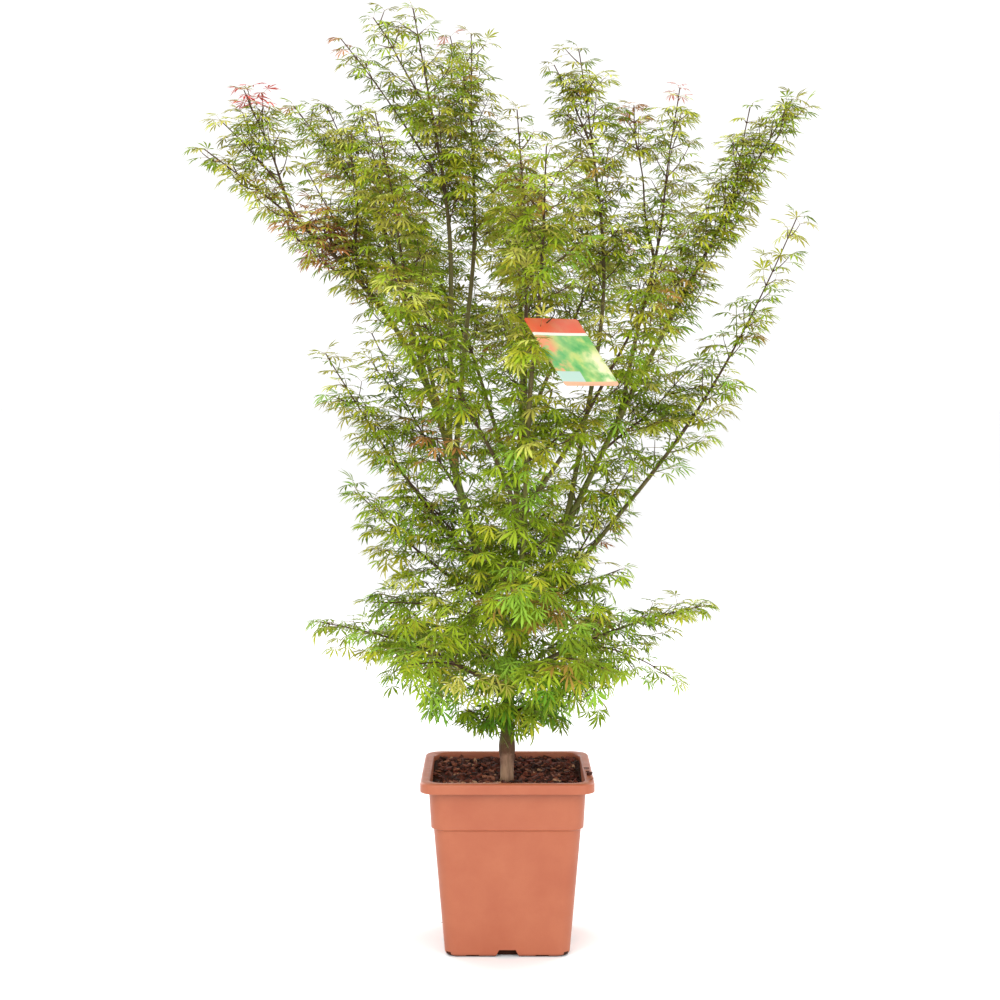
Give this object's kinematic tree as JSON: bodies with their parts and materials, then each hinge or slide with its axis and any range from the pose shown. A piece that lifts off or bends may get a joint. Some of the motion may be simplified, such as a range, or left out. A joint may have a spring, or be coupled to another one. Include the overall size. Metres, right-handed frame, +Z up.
{
  "type": "potted japanese maple",
  "caption": "Young Japanese maple with slender boughs that fan out like a vase and narrow-fingered leaves, in a square terracotta plastic pot of bark compost, with a sale label hung on a bough.",
  "frame": {"origin": "on the ground, under the centre of the pot", "axes": "+Z up; +Y from the front, where the label hangs, to the back; +X to the right seen from the front"},
  "size_m": [0.9514, 0.8017, 1.4618],
  "materials": {
    "pot_plastic": "moulded terracotta plastic, satin",
    "compost": "damp dark red-brown bark chips",
    "trunk_bark": "grey-brown young bark, reddish above the soil and greener above that",
    "bough_bark": "smooth olive-green bark, dark red-brown where it is thin",
    "foliage": "thin matt leaves, yellow-green with olive, bronze and pink tints",
    "label_card": "printed laminated card",
    "label_string": "thin dark green string"
  },
  "bodies": {
    "root": {"pot": "pot_plastic", "soil": "compost", "trunk": "trunk_bark", "bough_back": "bough_bark", "bough_back_left": "bough_bark", "bough_back_right": "bough_bark", "bough_centre": "bough_bark", "bough_front": "bough_bark", "bough_front_left": "bough_bark", "bough_inner_back": "bough_bark", "bough_inner_right": "bough_bark", "bough_leader": "bough_bark", "bough_left": "bough_bark", "bough_left_back": "bough_bark", "bough_left_front": "bough_bark", "bough_left_low": "bough_bark", "bough_left_mid": "bough_bark", "bough_low_back_left": "bough_bark", "bough_low_back_right": "bough_bark", "bough_low_front_left": "bough_bark", "bough_low_front_right": "bough_bark", "bough_low_left": "bough_bark", "bough_low_right": "bough_bark", "bough_right": "bough_bark", "bough_right_back": "bough_bark", "bough_right_front": "bough_bark", "bough_right_low": "bough_bark", "core_back": "foliage", "core_front": "foliage", "core_left": "foliage", "core_right": "foliage", "plume_back": "foliage", "plume_back_left": "foliage", "plume_back_right": "foliage", "plume_centre": "foliage", "plume_front": "foliage", "plume_front_left": "foliage", "plume_inner_back": "foliage", "plume_inner_right": "foliage", "plume_leader": "foliage", "plume_left": "foliage", "plume_left_back": "foliage", "plume_left_front": "foliage", "plume_left_low": "foliage", "plume_left_mid": "foliage", "plume_left_tip": "foliage", "plume_right": "foliage", "plume_right_back": "foliage", "plume_right_front": "foliage", "plume_right_low": "foliage", "spray_low_back_left": "foliage", "spray_low_back_right": "foliage", "spray_low_front_left": "foliage", "spray_low_front_right": "foliage", "spray_low_left": "foliage", "spray_low_right": "foliage", "spray_skirt": "foliage", "label_card": "label_card", "label_tie": "label_string"}
  },
  "joints": []
}
